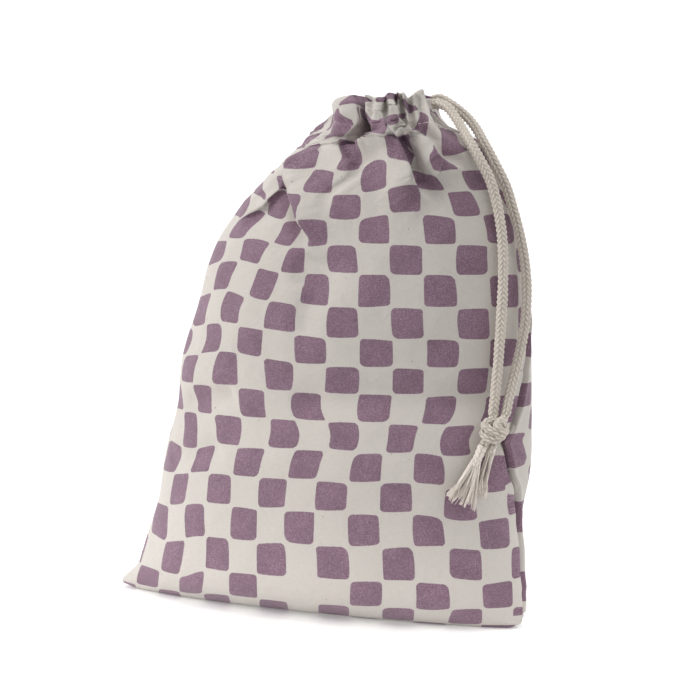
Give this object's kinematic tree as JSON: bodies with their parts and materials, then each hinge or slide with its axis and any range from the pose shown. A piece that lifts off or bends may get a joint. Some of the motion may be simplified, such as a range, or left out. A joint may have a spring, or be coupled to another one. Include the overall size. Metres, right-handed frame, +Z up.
{
  "type": "drawstring pouch",
  "caption": "Standing cotton drawstring pouch with a rounded check print, gathered mouth, braided cord, knot and frayed ends.",
  "frame": {"origin": "on the surface the pouch stands on, under the middle of the pouch's own box", "axes": "+Z up through the mouth, -Y the front panel's outward side, +X towards the side where the cord leaves the channel"},
  "size_m": [0.2719, 0.1099, 0.311],
  "materials": {
    "printed_cotton": "matte plain weave, cream with purple rounded checks",
    "cotton_cord": "matte braided cotton",
    "cotton_yarn": "matte frayed cotton yarn"
  },
  "bodies": {
    "root": {"pouch_cloth": "printed_cotton", "cord_inner": "cotton_cord", "cord_outer": "cotton_cord", "cord_knot": "cotton_cord", "frayed_end_long": "cotton_yarn", "frayed_end_short": "cotton_yarn"}
  },
  "joints": []
}
